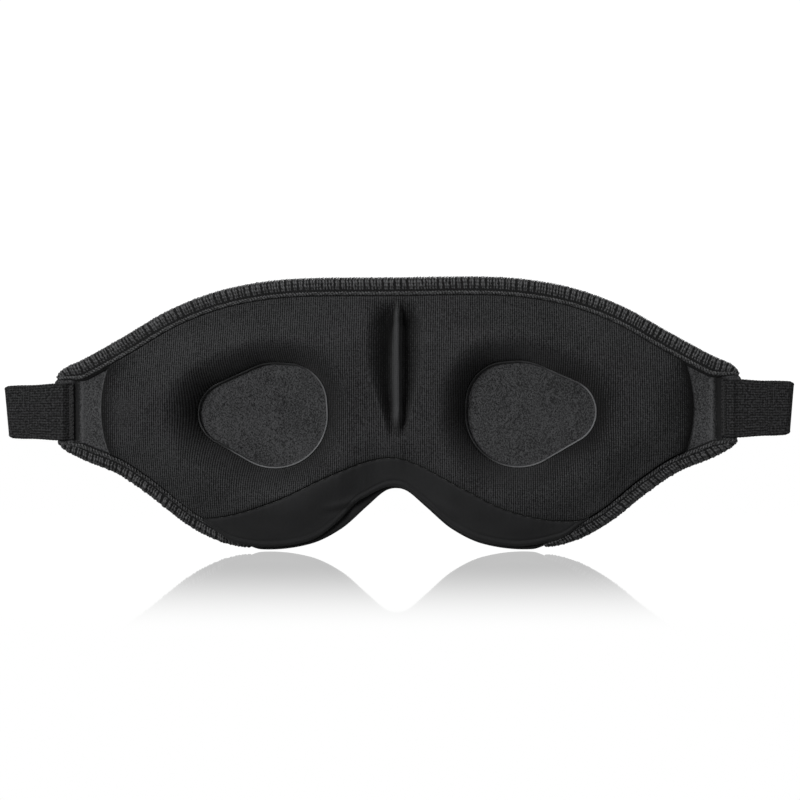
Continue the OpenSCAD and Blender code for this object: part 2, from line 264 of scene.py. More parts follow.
def crest(x, z):
    """Height of the padded face above the edge plane, before the eye cups are sunk in."""
    top = inside_of(TOP_LINE, x, z) - BIND_W
    low = inside_of(BOTTOM_LINE, x, z)
    edge = least(2.0, top, low, PAD_HALF_W + 5 - np.abs(x))
    bridge = 1 - 0.06 * bell(x, 14)
    return mix(RIM_H, CREST_H, step(0, RISE_W, edge)) * bridge - nose_ridge(x, z)


def face_y(x, z, window=None):
    window = from_window(x, z) if window is None else window
    floor = wrap_y(x) + DOME_H - WINDOW_LIP
    wall = 1 - (1 - np.clip(window / BOWL_W, 0, 1)) ** 2
    return mix(floor, wrap_y(x) - crest(x, z), wall)


# ---- mesh helpers
SHARP = math.radians(70)  # edges that turn more than this stay sharp


# stores painted shade, and painted highlight below 0, as a mesh attribute
def set_painted_shade(mesh, shade):
    layer = mesh.attributes.new("painted_shade", "FLOAT", "POINT")
    layer.data.foreach_set("value", np.asarray(shade, float).ravel())


def make_mesh(name, verts, faces, material, uv=None, shade=None):
    """A mesh object from points in millimetres. uv holds one pair for each point, and shade
    one value: the painted shade there, or a painted highlight where it is below 0."""
    mesh = bpy.data.meshes.new(name)
    mesh.from_pydata((np.asarray(verts, float) * MM).tolist(), [], [list(f) for f in faces])
    mesh.validate()
    if uv is not None:
        layer = mesh.uv_layers.new(name="along")
        loops = np.empty(len(mesh.loops), int)
        mesh.loops.foreach_get("vertex_index", loops)
        layer.data.foreach_set("uv", np.asarray(uv, float)[loops].ravel())
    if shade is not None:
        set_painted_shade(mesh, shade)
    mesh.polygons.foreach_set("use_smooth", [True] * len(mesh.polygons))
    mesh.materials.append(material)
    mesh.set_sharp_from_angle(angle=SHARP)
    mesh.update()
    return new_object(name, mesh)


def new_object(name, data):
    obj = bpy.data.objects.new(name, data)
    bpy.context.scene.collection.objects.link(obj)
    return obj


def settle(piece, body, slot, *nodes):
    """Puts a piece on its body, in place of the CAD's nodes, which it hides; slot is not used."""
    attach(piece, body)
    if nodes:
        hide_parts(*nodes)


def grid_faces(rows, cols, start=0, flip=False, wrap=False):
    """Quads of a grid of points stored row by row; wrap joins the last column to the first."""
    r = np.arange(rows - 1)[:, None]
    c = np.arange(cols if wrap else cols - 1)[None, :]
    d = (c + 1) % cols
    quads = [r * cols + c, (r + 1) * cols + c, (r + 1) * cols + d, r * cols + d]
    faces = np.stack([q.ravel() for q in quads], -1) + start
    return faces[:, ::-1] if flip else faces


def close_up(obj, weld):
    """Turns every face outwards; weld first joins a sweep's first ring to its last."""
    work = bmesh.new()
    work.from_mesh(obj.data)
    if weld:
        bmesh.ops.remove_doubles(work, verts=work.verts, dist=1e-6)
    bmesh.ops.recalc_face_normals(work, faces=work.faces)
    work.to_mesh(obj.data)
    work.free()


def slab(name, x, z, front, back, material, keep=None, shade=None):
    """A closed piece between two grids of depths; `keep` says which points stay in it."""
    rows, cols = x.shape
    count = rows * cols
    verts = np.concatenate([np.stack([x, y, z], -1).reshape(-1, 3) for y in (front, back)])
    faces = grid_faces(rows, cols)
    if keep is not None:
        faces = faces[keep.ravel()[faces].any(-1)]
    edges = np.concatenate([faces[:, [i, (i + 1) % 4]] for i in range(4)])
    code = edges[:, 0] * count + edges[:, 1]
    rim = edges[~np.isin(code, edges[:, 1] * count + edges[:, 0])]
    walls = np.stack([rim[:, 1], rim[:, 0], rim[:, 0] + count, rim[:, 1] + count], -1)
    all_faces = np.concatenate([faces, faces[:, ::-1] + count, walls])
    used, index = np.unique(all_faces, return_inverse=True)
    index = index.reshape(all_faces.shape)
    if shade is not None:
        shade = np.tile(np.ravel(shade), 2)[used]
    # the grids run upwards with X to the right, so the front side, which faces -Y, is turned
    return make_mesh(name, verts[used], index[:, ::-1], material, shade=shade)


def sweep(paths, radius, ref, sides, taper):
    """Round threads along paths (threads, points, 3); ref is any direction across each path."""
    paths = np.asarray(paths, float)
    count, points, _ = paths.shape
    tangent = np.gradient(paths, axis=1)
    tangent /= np.linalg.norm(tangent, axis=-1, keepdims=True) + 1e-12
    ref = np.broadcast_to(ref, paths.shape)
    side = np.cross(tangent, ref)
    side /= np.linalg.norm(side, axis=-1, keepdims=True) + 1e-12
    up = np.cross(side, tangent)
    turn = 2 * math.pi * np.arange(sides) / sides
    size = np.ones(points)
    size[0] = size[-1] = taper
    radius = np.broadcast_to(np.asarray(radius, float), (count,))
    scale = (radius[:, None] * size)[:, :, None, None]
    ring = side[:, :, None] * np.cos(turn)[:, None] + up[:, :, None] * np.sin(turn)[:, None]
    verts = (paths[:, :, None] + scale * ring).reshape(-1, 3)
    one = grid_faces(points, sides, wrap=True)
    step_size = points * sides
    faces = (one[None] + (np.arange(count) * step_size)[:, None, None]).reshape(-1, 4)
    caps = []
    for i in range(count):
        first = i * step_size
        caps.append(list(range(first, first + sides)))
        caps.append(list(range(first + step_size - 1, first + step_size - sides - 1, -1)))
    length = np.cumsum(np.linalg.norm(np.diff(paths, axis=1, prepend=paths[:, :1]), axis=-1), 1)
    u = np.repeat(length[:, :, None], sides, 2)
    v = np.broadcast_to(np.arange(sides) / sides, u.shape)
    return verts, [list(f) for f in faces] + caps, np.stack([u, v], -1).reshape(-1, 2)


def threads(name, paths, radius, ref, material, sides=6, taper=0.35):
    """One object made of many threads. paths is a list of arrays with any number of points."""
    groups = {}
    for path in paths:
        groups.setdefault(len(path), []).append(path)
    verts, faces, uvs, start = [], [], [], 0
    for group in groups.values():
        v, f, uv = sweep(np.array(group), radius, ref, sides, taper)
        verts.append(v)
        faces += [[i + start for i in face] for face in f]
        uvs.append(uv)
        start += len(v)
    return make_mesh(name, np.concatenate(verts), faces, material, np.concatenate(uvs))


def profile_sweep(name, centres, frames, profile, material, caps=True):
    """A closed profile swept along centres. frames gives each ring's two axes; profile, its
    points on those axes, may differ from ring to ring. Without caps, its ends are joined."""
    centres = np.asarray(centres, float)
    a, b = frames
    rings, sides = len(centres), profile.shape[-2]
    profile = np.broadcast_to(profile, (rings, sides, 2))
    verts = centres[:, None] + profile[..., :1] * a[:, None] + profile[..., 1:] * b[:, None]
    faces = [list(f) for f in grid_faces(rings, sides, wrap=True)]
    if caps:
        faces.append(list(range(sides)))
        faces.append(list(range(rings * sides - 1, (rings - 1) * sides - 1, -1)))
    length = np.cumsum(np.linalg.norm(np.diff(centres, axis=0, prepend=centres[:1]), axis=-1))
    around = np.linalg.norm(np.diff(profile[0], axis=0, prepend=profile[0][:1]), axis=-1).cumsum()
    uv = np.stack(np.broadcast_arrays(length[:, None], around[None]), -1)
    piece = make_mesh(name, verts.reshape(-1, 3), faces, material, uv.reshape(-1, 2))
    close_up(piece, weld=not caps)
    return piece


# ---- materials
def new_material(name, roughness, sheen=0.0, specular=0.08):
    mat = bpy.data.materials.new(name)
    mat.use_nodes = True
    shader = mat.node_tree.nodes["Principled BSDF"]
    shader.inputs["Roughness"].default_value = roughness
    shader.inputs["Sheen Weight"].default_value = sheen
    shader.inputs["Sheen Roughness"].default_value = 0.5
    shader.inputs["Specular IOR Level"].default_value = specular
    return mat, mat.node_tree, shader


def add(tree, kind, values=None, **settings):
    """A new node; values sets or links its inputs, settings its own properties."""
    made = tree.nodes.new("ShaderNode" + kind)
    for key, value in settings.items():
        setattr(made, key, value)
    for key, value in (values or {}).items():
        if isinstance(value, bpy.types.NodeSocket):
            tree.links.new(value, made.inputs[key])
        else:
            made.inputs[key].default_value = value
    return made


def millimetres(tree, stretch=(1, 1, 1)):
    """The place on the object in millimetres, stretched along its axes."""
    place = add(tree, "TexCoord")
    scale = tuple(1000 * s for s in stretch)
    return add(tree, "VectorMath", {0: place.outputs["Object"], 1: scale},
               operation="MULTIPLY").outputs[0]


def along_piece(tree, stretch=(1, 1, 1)):
    """The place on a swept piece: millimetres along it and across it."""
    place = add(tree, "UVMap", uv_map="along")
    return add(tree, "VectorMath", {0: place.outputs["UV"], 1: stretch},
               operation="MULTIPLY").outputs[0]


def noise(place, scale, detail, rough=0.5):
    values = {"Vector": place, "Scale": scale, "Detail": detail, "Roughness": rough}
    return add(place.id_data, "TexNoise", values).outputs["Fac"]


WAVE_UNIT = math.pi / 10


def bands(place, pitch, direction, distortion=0.0, detail_scale=1.0):
    values = {"Vector": place, "Scale": WAVE_UNIT / pitch, "Distortion": distortion,
              "Detail": 1.0, "Detail Scale": detail_scale}
    return add(place.id_data, "TexWave", values, wave_type="BANDS",
               bands_direction=direction).outputs["Fac"]


def maths(kind, a, b):
    return add(a.id_data, "Math", {0: a, 1: b}, operation=kind).outputs[0]


def weigh(*pairs):
    """The weighted sum of several patterns."""
    total = None
    for pattern, weight in pairs:
        part = maths("MULTIPLY", pattern, weight)
        total = part if total is None else maths("ADD", total, part)
    return total


def paint(shader, pattern, dark, light, low, high):
    """Colours the shader from dark to light, in greys with 2% of blue, as the pattern goes
    from low to high."""
    ramp = add(shader.id_data, "ValToRGB", {"Fac": pattern})
    for stop, place, value in zip(ramp.color_ramp.elements, (low, high), (dark, light)):
        stop.position = place
        stop.color = (value * 0.98, value * 0.99, value * 1.02, 1)
    shader.id_data.links.new(ramp.outputs["Color"], shader.inputs["Base Color"])


def apply_painted_shade(pattern, depth=0.17):
    """Darkens a pattern by the mesh's painted shade, and lightens it as a painted highlight where
    that is below 0; see make_mesh.
    """
    painted_shade_amount = add(pattern.id_data, "Attribute", attribute_name="painted_shade").outputs["Fac"]
    return maths("SUBTRACT", pattern, maths("MULTIPLY", painted_shade_amount, depth))


def emboss(shader, pattern, depth_mm):
    tree = shader.id_data
    bump = add(tree, "Bump", {"Height": pattern, "Distance": depth_mm * MM, "Strength": 1.0})
    tree.links.new(bump.outputs["Normal"], shader.inputs["Normal"])


def rib_knit():
    """Fine vertical ribs with a slight fuzz, darker between the ribs."""
    mat, tree, shader = new_material("rib_knit", 0.9, sheen=0.02)
    place = millimetres(tree)
    ribs = bands(place, 0.75, "X", 1.0, 0.6)
    rows = bands(place, 0.62, "Z", 1.6, 0.8)
    fuzz = noise(place, 1.5, 3.0, 0.75)
    cloud = noise(place, 0.05, 3.0)
    look = weigh((ribs, 0.22), (rows, 0.06), (fuzz, 0.57), (cloud, 0.15))
    paint(shader, apply_painted_shade(look), 0.0035, 0.040, 0.40, 0.61)
    emboss(shader, weigh((ribs, 0.5), (rows, 0.2), (fuzz, 0.6)), 0.22)
    return mat


def brushed(name, dark, light):
    """Short brushed fibres with fine light specks."""
    mat, tree, shader = new_material(name, 0.92, sheen=0.03)
    place = millimetres(tree)
    fibres = noise(millimetres(tree, (1, 1, 0.7)), 2.1, 3.0, 0.85)
    specks = noise(place, 3.0, 2.0)
    cloud = noise(place, 0.07, 2.0)
    look = weigh((fibres, 0.62), (specks, 0.30), (cloud, 0.08))
    paint(shader, apply_painted_shade(look, 0.12), dark, light, 0.43, 0.57)
    emboss(shader, weigh((fibres, 0.7), (specks, 0.3)), 0.22)
    return mat


def smooth_cloth(name, dark, light):
    """A close stretch fabric: a very fine even weave and soft clouding."""
    mat, tree, shader = new_material(name, 0.8, sheen=0.02)
    place = millimetres(tree)
    warp = bands(place, 0.42, "X")
    weft = bands(place, 0.42, "Z")
    cloud = noise(place, 0.09, 3.0)
    fuzz = noise(place, 3.0, 2.0)
    look = weigh((cloud, 0.5), (fuzz, 0.3), (warp, 0.1), (weft, 0.1))
    paint(shader, apply_painted_shade(look, 0.22), dark, light, 0.3, 0.7)
    emboss(shader, weigh((warp, 0.3), (weft, 0.3), (fuzz, 0.4)), 0.06)
    return mat


def elastic_web():
    """Woven elastic: cords along the strap, crossed by fine picks, with light specks."""
    mat, tree, shader = new_material("elastic_web", 0.8, sheen=0.02, specular=0.1)
    place = along_piece(tree)
    cords = bands(place, 0.9, "Y", 0.4)
    picks = bands(place, 0.55, "X", 0.8)
    specks = noise(place, 1.2, 3.0, 0.8)
    look = weigh((cords, 0.10), (picks, 0.10), (specks, 0.80))
    paint(shader, look, 0.0015, 0.030, 0.44, 0.61)
    emboss(shader, weigh((cords, 0.35), (picks, 0.35), (specks, 0.3)), 0.16)
    return mat


def twisted_thread(name, dark, light):
    """Spun thread: slanting plies round it."""
    mat, tree, shader = new_material(name, 0.55, sheen=0.04, specular=0.25)
    place = along_piece(tree, (1.6, 1.0, 1))
    plies = bands(place, 1.0, "DIAGONAL")
    fuzz = noise(millimetres(tree), 0.9, 3.0, 0.75)
    look = weigh((plies, 0.2), (fuzz, 0.8))
    paint(shader, look, dark, light, 0.40, 0.62)
    emboss(shader, plies, 0.05)
    return mat


def hook_plastic():
    mat, tree, shader = new_material("hook_plastic", 0.5, specular=0.15)
    mottle = noise(millimetres(tree), 0.8, 2.0)
    paint(shader, mottle, 0.004, 0.020, 0.35, 0.65)
    emboss(shader, mottle, 0.08)
    return mat


RIB = rib_knit()
LINING = brushed("brushed_lining", 0.010, 0.061)
# the window lip is the lining's own cloth, painted much lighter than the lining as a painted
# highlight
LIP_PAINTED_LIGHT = smooth_cloth("lip_painted_light", 0.018, 0.150)
FLAP = smooth_cloth("flap_cloth", 0.0125, 0.0185)
SHELL = smooth_cloth("front_cloth", 0.008, 0.013)
TAPE = smooth_cloth("edge_tape", 0.004, 0.008)
ELASTIC = elastic_web()
THREAD = twisted_thread("edge_thread", 0.003, 0.053)
DARK_THREAD = twisted_thread("seam_thread", 0.003, 0.009)
HOOKS = hook_plastic()
NAP = brushed("loop_nap", 0.010, 0.034)


# ---- padded face
PAD_TUCK = 1.2


def pad_end_x(z):
    """Where the pad's round ends are, less a tuck that hides the lining's raised line."""
    low = pad_bottom_z(np.array([PAD_HALF_W]))
    high = inset(TOP_LINE, np.array([PAD_HALF_W]), BIND_W + 0.1)
    v = np.clip((z - low) / (high - low), 0, 1)
    return PAD_HALF_W - PAD_TUCK + PAD_BULGE * (1 - (2 * v - 1) ** 2)


def spaced(edges, fine, coarse, reach):
    """Places from edges[0] to edges[1], `fine` apart at both ends and in the middle."""
    low, high = edges
    places = [low]
    middle = (low + high) / 2
    while places[-1] < high - fine / 2:
        gap = min(places[-1] - low, high - places[-1], max(0, abs(places[-1] - middle) - reach))
        places.append(places[-1] + fine + (coarse - fine) * min(1, max(0, gap) / 4))
    return np.append(np.array(places[:-1]), high)


def snap_to_window(x, z, reach):
    """Moves the points close to a window's edge onto it, and says which lie outside it."""
    window = from_window(x, z)
    e = 0.02
    across = (from_window(x + e, z) - from_window(x - e, z)) / (2 * e)
    along = (from_window(x, z + e) - from_window(x, z - e)) / (2 * e)
    outside = window > reach
    kept = np.zeros(x.shape, bool)
    corners = [(a, b) for a in (slice(None, -1), slice(1, None))
               for b in (slice(None, -1), slice(1, None))]
    quad_out = np.any([outside[c] for c in corners], axis=0)
    for corner in corners:
        kept[corner] |= quad_out
    moved = kept & ~outside
    x = np.where(moved, x - window * across, x)
    z = np.where(moved, z - window * along, z)
    return x, z, outside


def pad_piece():
    across = spaced((-PAD_HALF_W, PAD_HALF_W), 0.3, 0.62, 11) / PAD_HALF_W
    edge_rows = np.array([0, 0.25, 0.5, 0.8, 1.15, 1.55, 2.0]) / 75
    up = np.concatenate([edge_rows, np.linspace(2.5 / 75, 1 - 2.5 / 75, 128), 1 - edge_rows[::-1]])
    s, v = np.meshgrid(across, up)
    flat_x = s * PAD_HALF_W
    x = s * (PAD_HALF_W + PAD_BULGE * (1 - (2 * v - 1) ** 2))
    low, high = pad_bottom_z(flat_x), inset(TOP_LINE, flat_x, BIND_W + 0.1)
    z = mix(low, high, v)
    x, z, outside = snap_to_window(x, z, 0.22)
    window = from_window(x, z)
    face = face_y(x, z, window)
    behind = shell_y(x, z, window) - 0.05
    # soft unevenness of the foam and small puckers along the seams
    below = v * (high - low)
    above = (1 - v) * (high - low)
    face += 0.16 * ripple(x, z, 26) * step(1, 8, window)
    pucker = np.sin(x * PUCKER_TURN + 1.5 * np.sin(x / 9))
    face += 0.10 * pucker * (np.exp(-below / 2.2) + np.exp(-above / 2.2))
    # rolled edges: down to the seam, under the binding and round the side ends
    face += 1.3 * (1 - quarter_round(below / 1.5)) + 1.2 * (1 - quarter_round(above / 1.8))
    face += 1.5 * (1 - quarter_round(window / 1.1))
    side = (1 - np.abs(s)) * PAD_HALF_W
    face = mix(behind - 0.25, face, quarter_round(side / 3.2))
    face = np.minimum(face, behind - 0.2)
    # the pad's knit carries painted shade and painted highlight as a mesh attribute
    pad = slab("rib_knit_pad", x, z, face, behind, RIB, keep=outside,
               shade=painted_shade(x, z, window, side))
    settle(pad, "mask", "rib_knit", "pad_cover", "pad_foam")


pad_piece()


# ---- lining and window cloths
SEWING_X = 108.7  # where the sewn strap pulls the lining up


def lining_piece():
    tip = np.concatenate([np.linspace(95, 105, 41)[:-1], np.linspace(105, HALF_W - 0.4, 30)])
    x = np.concatenate([-tip[::-1], np.linspace(-94, 94, 140), tip])
    v = np.linspace(0, 1, 84)
    x, v = np.meshgrid(x, v)
    under_flap = (flap_edge_inset(x) + 1.4) * (1 - step(54, 62, np.abs(x)))
    z = mix(inset(BOTTOM_LINE, x, np.maximum(1.2, under_flap)), inset(TOP_LINE, x, 1.1), v)
    y = shell_y(x, z)
    # the lining puckers beside the sewn strap, with painted shade in the groove by the strap's end
    # and a painted highlight on the raised pucker
    near = 1 - step(STRAP_W / 2 - 1, STRAP_W / 2 + 4, np.abs(z - STRAP_Z))
    from_sewing = np.abs(x) - SEWING_X
    y += 0.7 * bell(from_sewing - 1.3, 1.1) * near - 0.55 * bell(from_sewing + 0.9, 0.7) * near
    shade = near * (1.3 * bell(from_sewing - 1.4, 1.3) - 0.5 * bell(from_sewing + 0.9, 0.8))
    y += 0.10 * ripple(x, z, 12, 3) * step(100, 106, np.abs(x))
    # and it rises in a thin line along the pad's end, painted lighter there as a painted highlight
    beside_pad = np.abs(x) - pad_end_x(z) - 0.9
    y -= 0.7 * bell(beside_pad, 0.45)
    shade -= bell(beside_pad, 0.5)
    piece = slab("brushed_lining", x, z, y, y + 0.6, LINING, shade=shade)
    settle(piece, "mask", "lining_fabric", "shell_lining")
    area = float(np.trapz(inset(TOP_LINE, x[0], 1) - inset(BOTTOM_LINE, x[0], 1), x[0]))


def window_cloth(label, side):
    """The lining inside one window, pressed up against the pad's edge all round."""
    turns = full_turn(240)
    n, disc, _ = window_reach(turns)
    edge = disc[:, :2] + (disc[:, 2:] + 0.05) * n
    centre = edge.mean(0)
    fine = np.array([1.8, 1.45, 1.15, 0.9, 0.65, 0.42, 0.2, 0]) / 20
    share = np.concatenate([np.linspace(0.02, 0.9, 26), 1 - fine])
    ring = centre + share[:, None, None] * (edge - centre)
    x, z = side * ring[..., 0], ring[..., 1]
    window = from_window(x, z)
    y = shell_y(x, z, window) - 0.25
    y -= 1.3 * smooth((window + 0.8) / 0.8)
    y += 0.12 * ripple(x, z, 16, 5 + side) * step(0, 3, -window)
    rows, cols = x.shape
    front = np.stack([x, y, z], -1).reshape(-1, 3)
    back = front + [0, 0.5, 0]
    hub = front[:cols].mean(0)
    verts = np.concatenate([front, back, [hub, hub + [0, 0.5, 0]]])
    count = rows * cols
    faces = [list(f) for f in grid_faces(rows, cols, wrap=True)]
    faces += [list(f) for f in grid_faces(rows, cols, start=count, flip=True, wrap=True)]
    for j in range(cols):
        k = (j + 1) % cols
        last = (rows - 1) * cols
        faces.append([last + j, last + j + count, last + k + count, last + k])
        faces.append([2 * count, j, k])
        faces.append([2 * count + 1, k + count, j + count])
    if side > 0:
        faces = [f[::-1] for f in faces]
    piece = make_mesh(label + "_window_cloth", verts, faces, LINING)
    settle(piece, "mask", "lining_fabric")

    # the cloth's pressed edge stands round the window as a thin round lip
    edge = disc[:, :2] + (disc[:, 2:] - 0.22) * n
    x, z = side * edge[:, 0], edge[:, 1]
    y = shell_y(x, z) - 1.62
    path = np.stack([x, y, z], -1)
    across = np.stack([side * n[:, 0], 0 * x, n[:, 1]], -1)
    closed = [np.concatenate([a, a[:1]]) for a in (path, across)]
    depth = np.tile([0.0, 1.0, 0.0], (len(x) + 1, 1))
    turn = full_turn(10)
    round_lip = np.stack([0.3 * np.cos(turn), 0.42 * np.sin(turn)], -1)
    lip = profile_sweep(label + "_window_lip", closed[0], (closed[1], depth), round_lip,
                        LIP_PAINTED_LIGHT, caps=False)
    # painted highlight along its lower right, painted shade at its upper left
    at = np.array([v.co[:] for v in lip.data.vertices]) / MM
    lower_right = 0.72 * (at[:, 0] - side * 46) - 0.69 * (at[:, 2] + 1)
    set_painted_shade(lip.data, 1 - 1.6 * step(-4, 13, lower_right))
    settle(lip, "mask", "lining_fabric")


lining_piece()
for end, label in SIDES:
    window_cloth(label, end)


# ---- front shell
def shell_piece():
    x = np.concatenate([[-HALF_W], np.linspace(-HALF_W + 0.5, HALF_W - 0.5, 260), [HALF_W]])
    edge = np.array([0, 0.12, 0.3, 0.6, 1.0, 1.5]) / 70
    v = np.concatenate([edge, np.linspace(2 / 70, 1 - 2 / 70, 96), 1 - edge[::-1]])
    x, v = np.meshgrid(x, v)
    low_edge = mix(0.0, BIND_T + 0.1, step(BIND_END - 3, BIND_END + 3, np.abs(x)))
    low, high = inset(BOTTOM_LINE, x, low_edge), inset(TOP_LINE, x, BIND_T + 0.1)
    z = mix(low, high, v)
    window = from_window(x, z)
    inner = shell_y(x, z, window) + 0.65
    room = np.minimum(high - z, z - low)
    thick = mix(SHELL_EDGE_T - 0.7, SHELL_T - 0.7, step(3, 14, room))
    outer = inner + thick
    # a pressed line round each dome, and slight softness
    outer -= 0.55 * bell(window - 15, 1.1)
    outer += 0.12 * ripple(x, z, 30, 11)
    ends = np.minimum(room, HALF_W - np.abs(x))
    round_off = quarter_round((ends + 0.02) / 1.4)
    middle = (inner + outer) / 2
    piece = slab("moulded_front_shell", x, z, mix(middle, inner, round_off),
                 mix(middle, outer, round_off), SHELL)
    settle(piece, "mask", "front_fabric", "front_cover", "shell_core")


shell_piece()


# ---- nose flap
FLAP_HALF = 66.0
# Soft folds in the flap: start, end, height and width.
FOLDS = [
    ((-25, -33.2), (-8, -28.8), 0.9, 1.1),
    ((-18, -37.5), (-11, -33.5), 0.35, 1.3),
    ((10, -29.5), (24, -37.0), 0.35, 1.6),
    ((-52, -40.5), (-34, -41.5), 0.2, 2.0),
    ((34, -40.0), (50, -41.0), 0.2, 2.0),
]


def fold_shape(x, z):
    """Lifts the cloth just above each fold's line and sinks it just below."""
    total = 0
    for (x0, z0), (x1, z1), height, width in FOLDS:
        length = math.hypot(x1 - x0, z1 - z0)
        tx, tz = (x1 - x0) / length, (z1 - z0) / length
        along = (x - x0) * tx + (z - z0) * tz
        off = (z - z0) * tx - (x - x0) * tz + 0.5 * np.sin(along / length * math.pi)
        fade = step(-2, length * 0.4, along) * (1 - step(length * 0.7, length + 2, along))
        lift = (off / width) * np.exp(0.5 - (off / width) ** 2 / 2)
        total = total + height * lift * fade
    return total


def flap_piece():
    x = np.linspace(-FLAP_HALF, FLAP_HALF, 300)
    edge = np.array([0, 0.02, 0.045, 0.075, 0.11])
    v = np.concatenate([edge, np.linspace(0.15, 0.9, 40), 1 - edge[::-1] * 0.8])
    x, v = np.meshgrid(x, v)
    low = inset(BOTTOM_LINE, x, flap_edge_inset(x))
    high = np.maximum(seam_z(x) - 0.1, low + 0.6)
    z = mix(low, high, v)
    window = from_window(x, z)
    y = face_y(x, z, window)
    below, above = v * (high - low), (1 - v) * (high - low)
    y -= fold_shape(x, z)
    pucker = np.sin(x * PUCKER_TURN + 0.8)
    y += 0.12 * pucker * np.exp(-above / 2.0) + 0.18 * ripple(x, z, 14, 21)
    y += 1.2 * (1 - quarter_round(above / 1.3)) + 1.4 * (1 - quarter_round(below / 1.6))
    # a shallow channel where the hem is sewn down, with a soft roll below it
    y += 0.35 * bell(below - 2.1, 0.45) - 0.15 * bell(below - 1.2, 0.5)
    behind = shell_y(x, z, window) - 0.05
    piece = slab("nose_flap_cloth", x, z, np.minimum(y, behind - 0.3), behind, FLAP)
    settle(piece, "mask", "flap_fabric", "nose_flap", "nose_flap_foam")


flap_piece()


# ---- bindings
def along_outline(line, x_from, x_to, gap):
    """Points on an outline at even spacing, with the normals that point into the body."""
    x = np.linspace(x_from, x_to, 4000)
    z, rise = curve(line, x)
    rise = rise * np.sign(x)
    length = np.concatenate([[0], np.cumsum(np.hypot(np.diff(x), np.diff(z)))])
    at = np.arange(gap / 2, length[-1], gap)
    x, z = np.interp(at, length, x), np.interp(at, length, z)
    rise, side = np.gradient(z, x), into_body(line)
    normal = np.stack([-rise * side, np.full_like(rise, side)], -1)
    normal /= np.linalg.norm(normal, axis=-1, keepdims=True)
    return at, x, z, normal


def on_binding(x, z, normal, n, y):
    """The point n inwards from the outline's point and y above the edge plane."""
    return np.stack([x + normal[..., 0] * n, y, z + normal[..., 1] * n], -1)


BODY_T = 2.9  # the body's thickness at its edge
CORE = np.array([0.9, 1.15])  # the middle of a binding's section, as (n, y)
NOSE_N = 1.15  # the middle of its roll round the edge
SLIM = 0.12  # how full it is at its ends


def tape_profile(lip):
    """A soft channel round the edge: points (n, y), from the wearer's lip to the back lip."""
    front, back = -BIND_T - 0.05, BODY_T + 0.35
    turn = np.linspace(-math.pi / 2, math.pi / 2, 9)
    middle, half = (front + back) / 2, (back - front) / 2
    nose = [(NOSE_N - 1.6 * math.cos(a), middle + half * math.sin(a)) for a in turn]
    outer = [(lip, front + 0.75), (lip - 0.25, front + 0.3), (lip - 0.9, front + 0.05),
             (lip * 0.55, front - 0.1)]
    inner = [(lip * 0.5, back + 0.1), (lip * 0.72 - 0.5, back - 0.05), (lip * 0.72, back - 0.35)]
    inside = [(lip * 0.72, back - 0.75), (1.1, back - 0.75), (1.1, -0.02), (lip, -0.02)]
    return np.array(outer + nose + inner + inside)


LOOP_PITCH, CHAIN_PITCH = 1.05, 2.3


def loop_places(lip):
    """A loop's course over the edge, as (n, y): along the front lip, round, and back."""
    front, back = -BIND_T - 0.1, BODY_T + 0.4
    middle, half = (front + back) / 2, (back - front) / 2
    turn = np.linspace(-math.pi / 2, math.pi / 2, 9)
    places = [(mix(lip * 0.6, NOSE_N, t), front + 0.3 * (1 - t) ** 3)
              for t in (0, 0.25, 0.5, 0.75)]
    places += [(NOSE_N - 1.3 * math.cos(a), middle + half * math.sin(a)) for a in turn]
    return places + [(mix(NOSE_N, lip * 0.52, t), back) for t in (0.5, 1)]


def lip_width(line, x, full):
    """The lip narrows where the strap leaves it too little room."""
    height, rise = curve(line, x)
    room = -into_body(line) * (height - STRAP_Z) - STRAP_W / 2
    return np.clip(np.minimum(full, room / np.sqrt(1 + rise**2)), 1.5, None)


def fullness(x, x_from, x_to, near_from, near_to):
    """How full a binding's section is: slim at its two ends, 1 further in than the lengths."""
    start = np.abs(x - x_from) / near_from
    end = np.abs(x_to - x) / near_to
    return SLIM + (1 - SLIM) * quarter_round(np.minimum(start, end) + 0.03)


